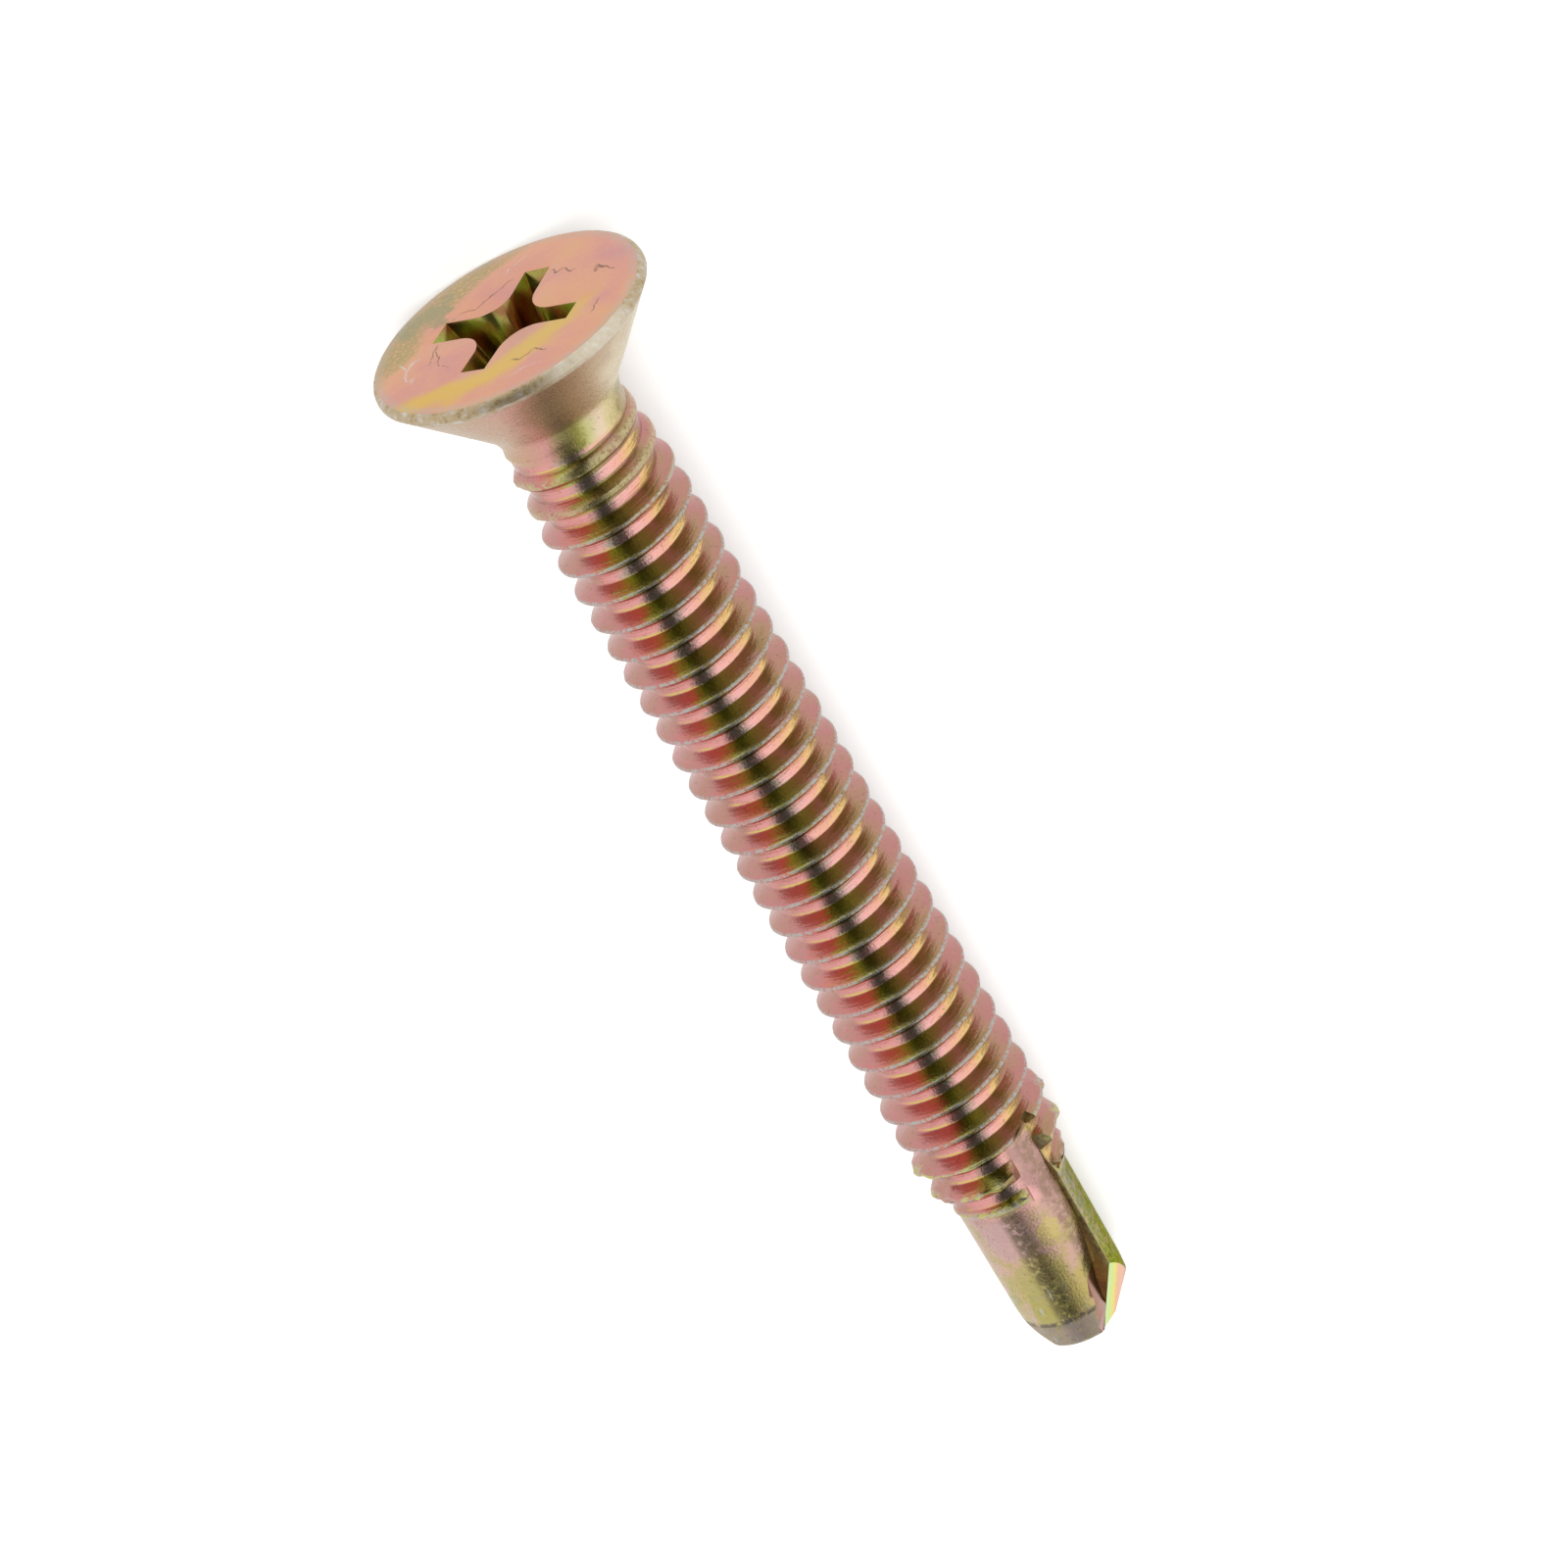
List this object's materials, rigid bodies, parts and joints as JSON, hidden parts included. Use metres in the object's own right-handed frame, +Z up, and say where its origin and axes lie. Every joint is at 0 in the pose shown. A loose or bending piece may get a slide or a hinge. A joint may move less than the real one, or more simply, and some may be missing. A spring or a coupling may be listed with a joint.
{
  "type": "self-drilling screw, countersunk head, cross recess",
  "caption": "Self-drilling sheet metal screw with a flat countersunk head, a cross recess, a coarse thread and a fluted drill point, lying on its side.",
  "frame": {"origin": "centre of the bounding box on the ground under the screw, which lies on the rim of its head and on its last full thread crest", "axes": "+Z up, +X from the head to the drill point along the ground, +Y across. The screw's own axis drops towards the point by 3.9 degrees."},
  "size_m": [0.0392, 0.0088, 0.0089],
  "materials": {
    "plated_steel": "yellow chromate over zinc on carbon steel, iridescent from pink to gold and olive"
  },
  "bodies": {
    "root": {"screw": "plated_steel"}
  },
  "joints": []
}
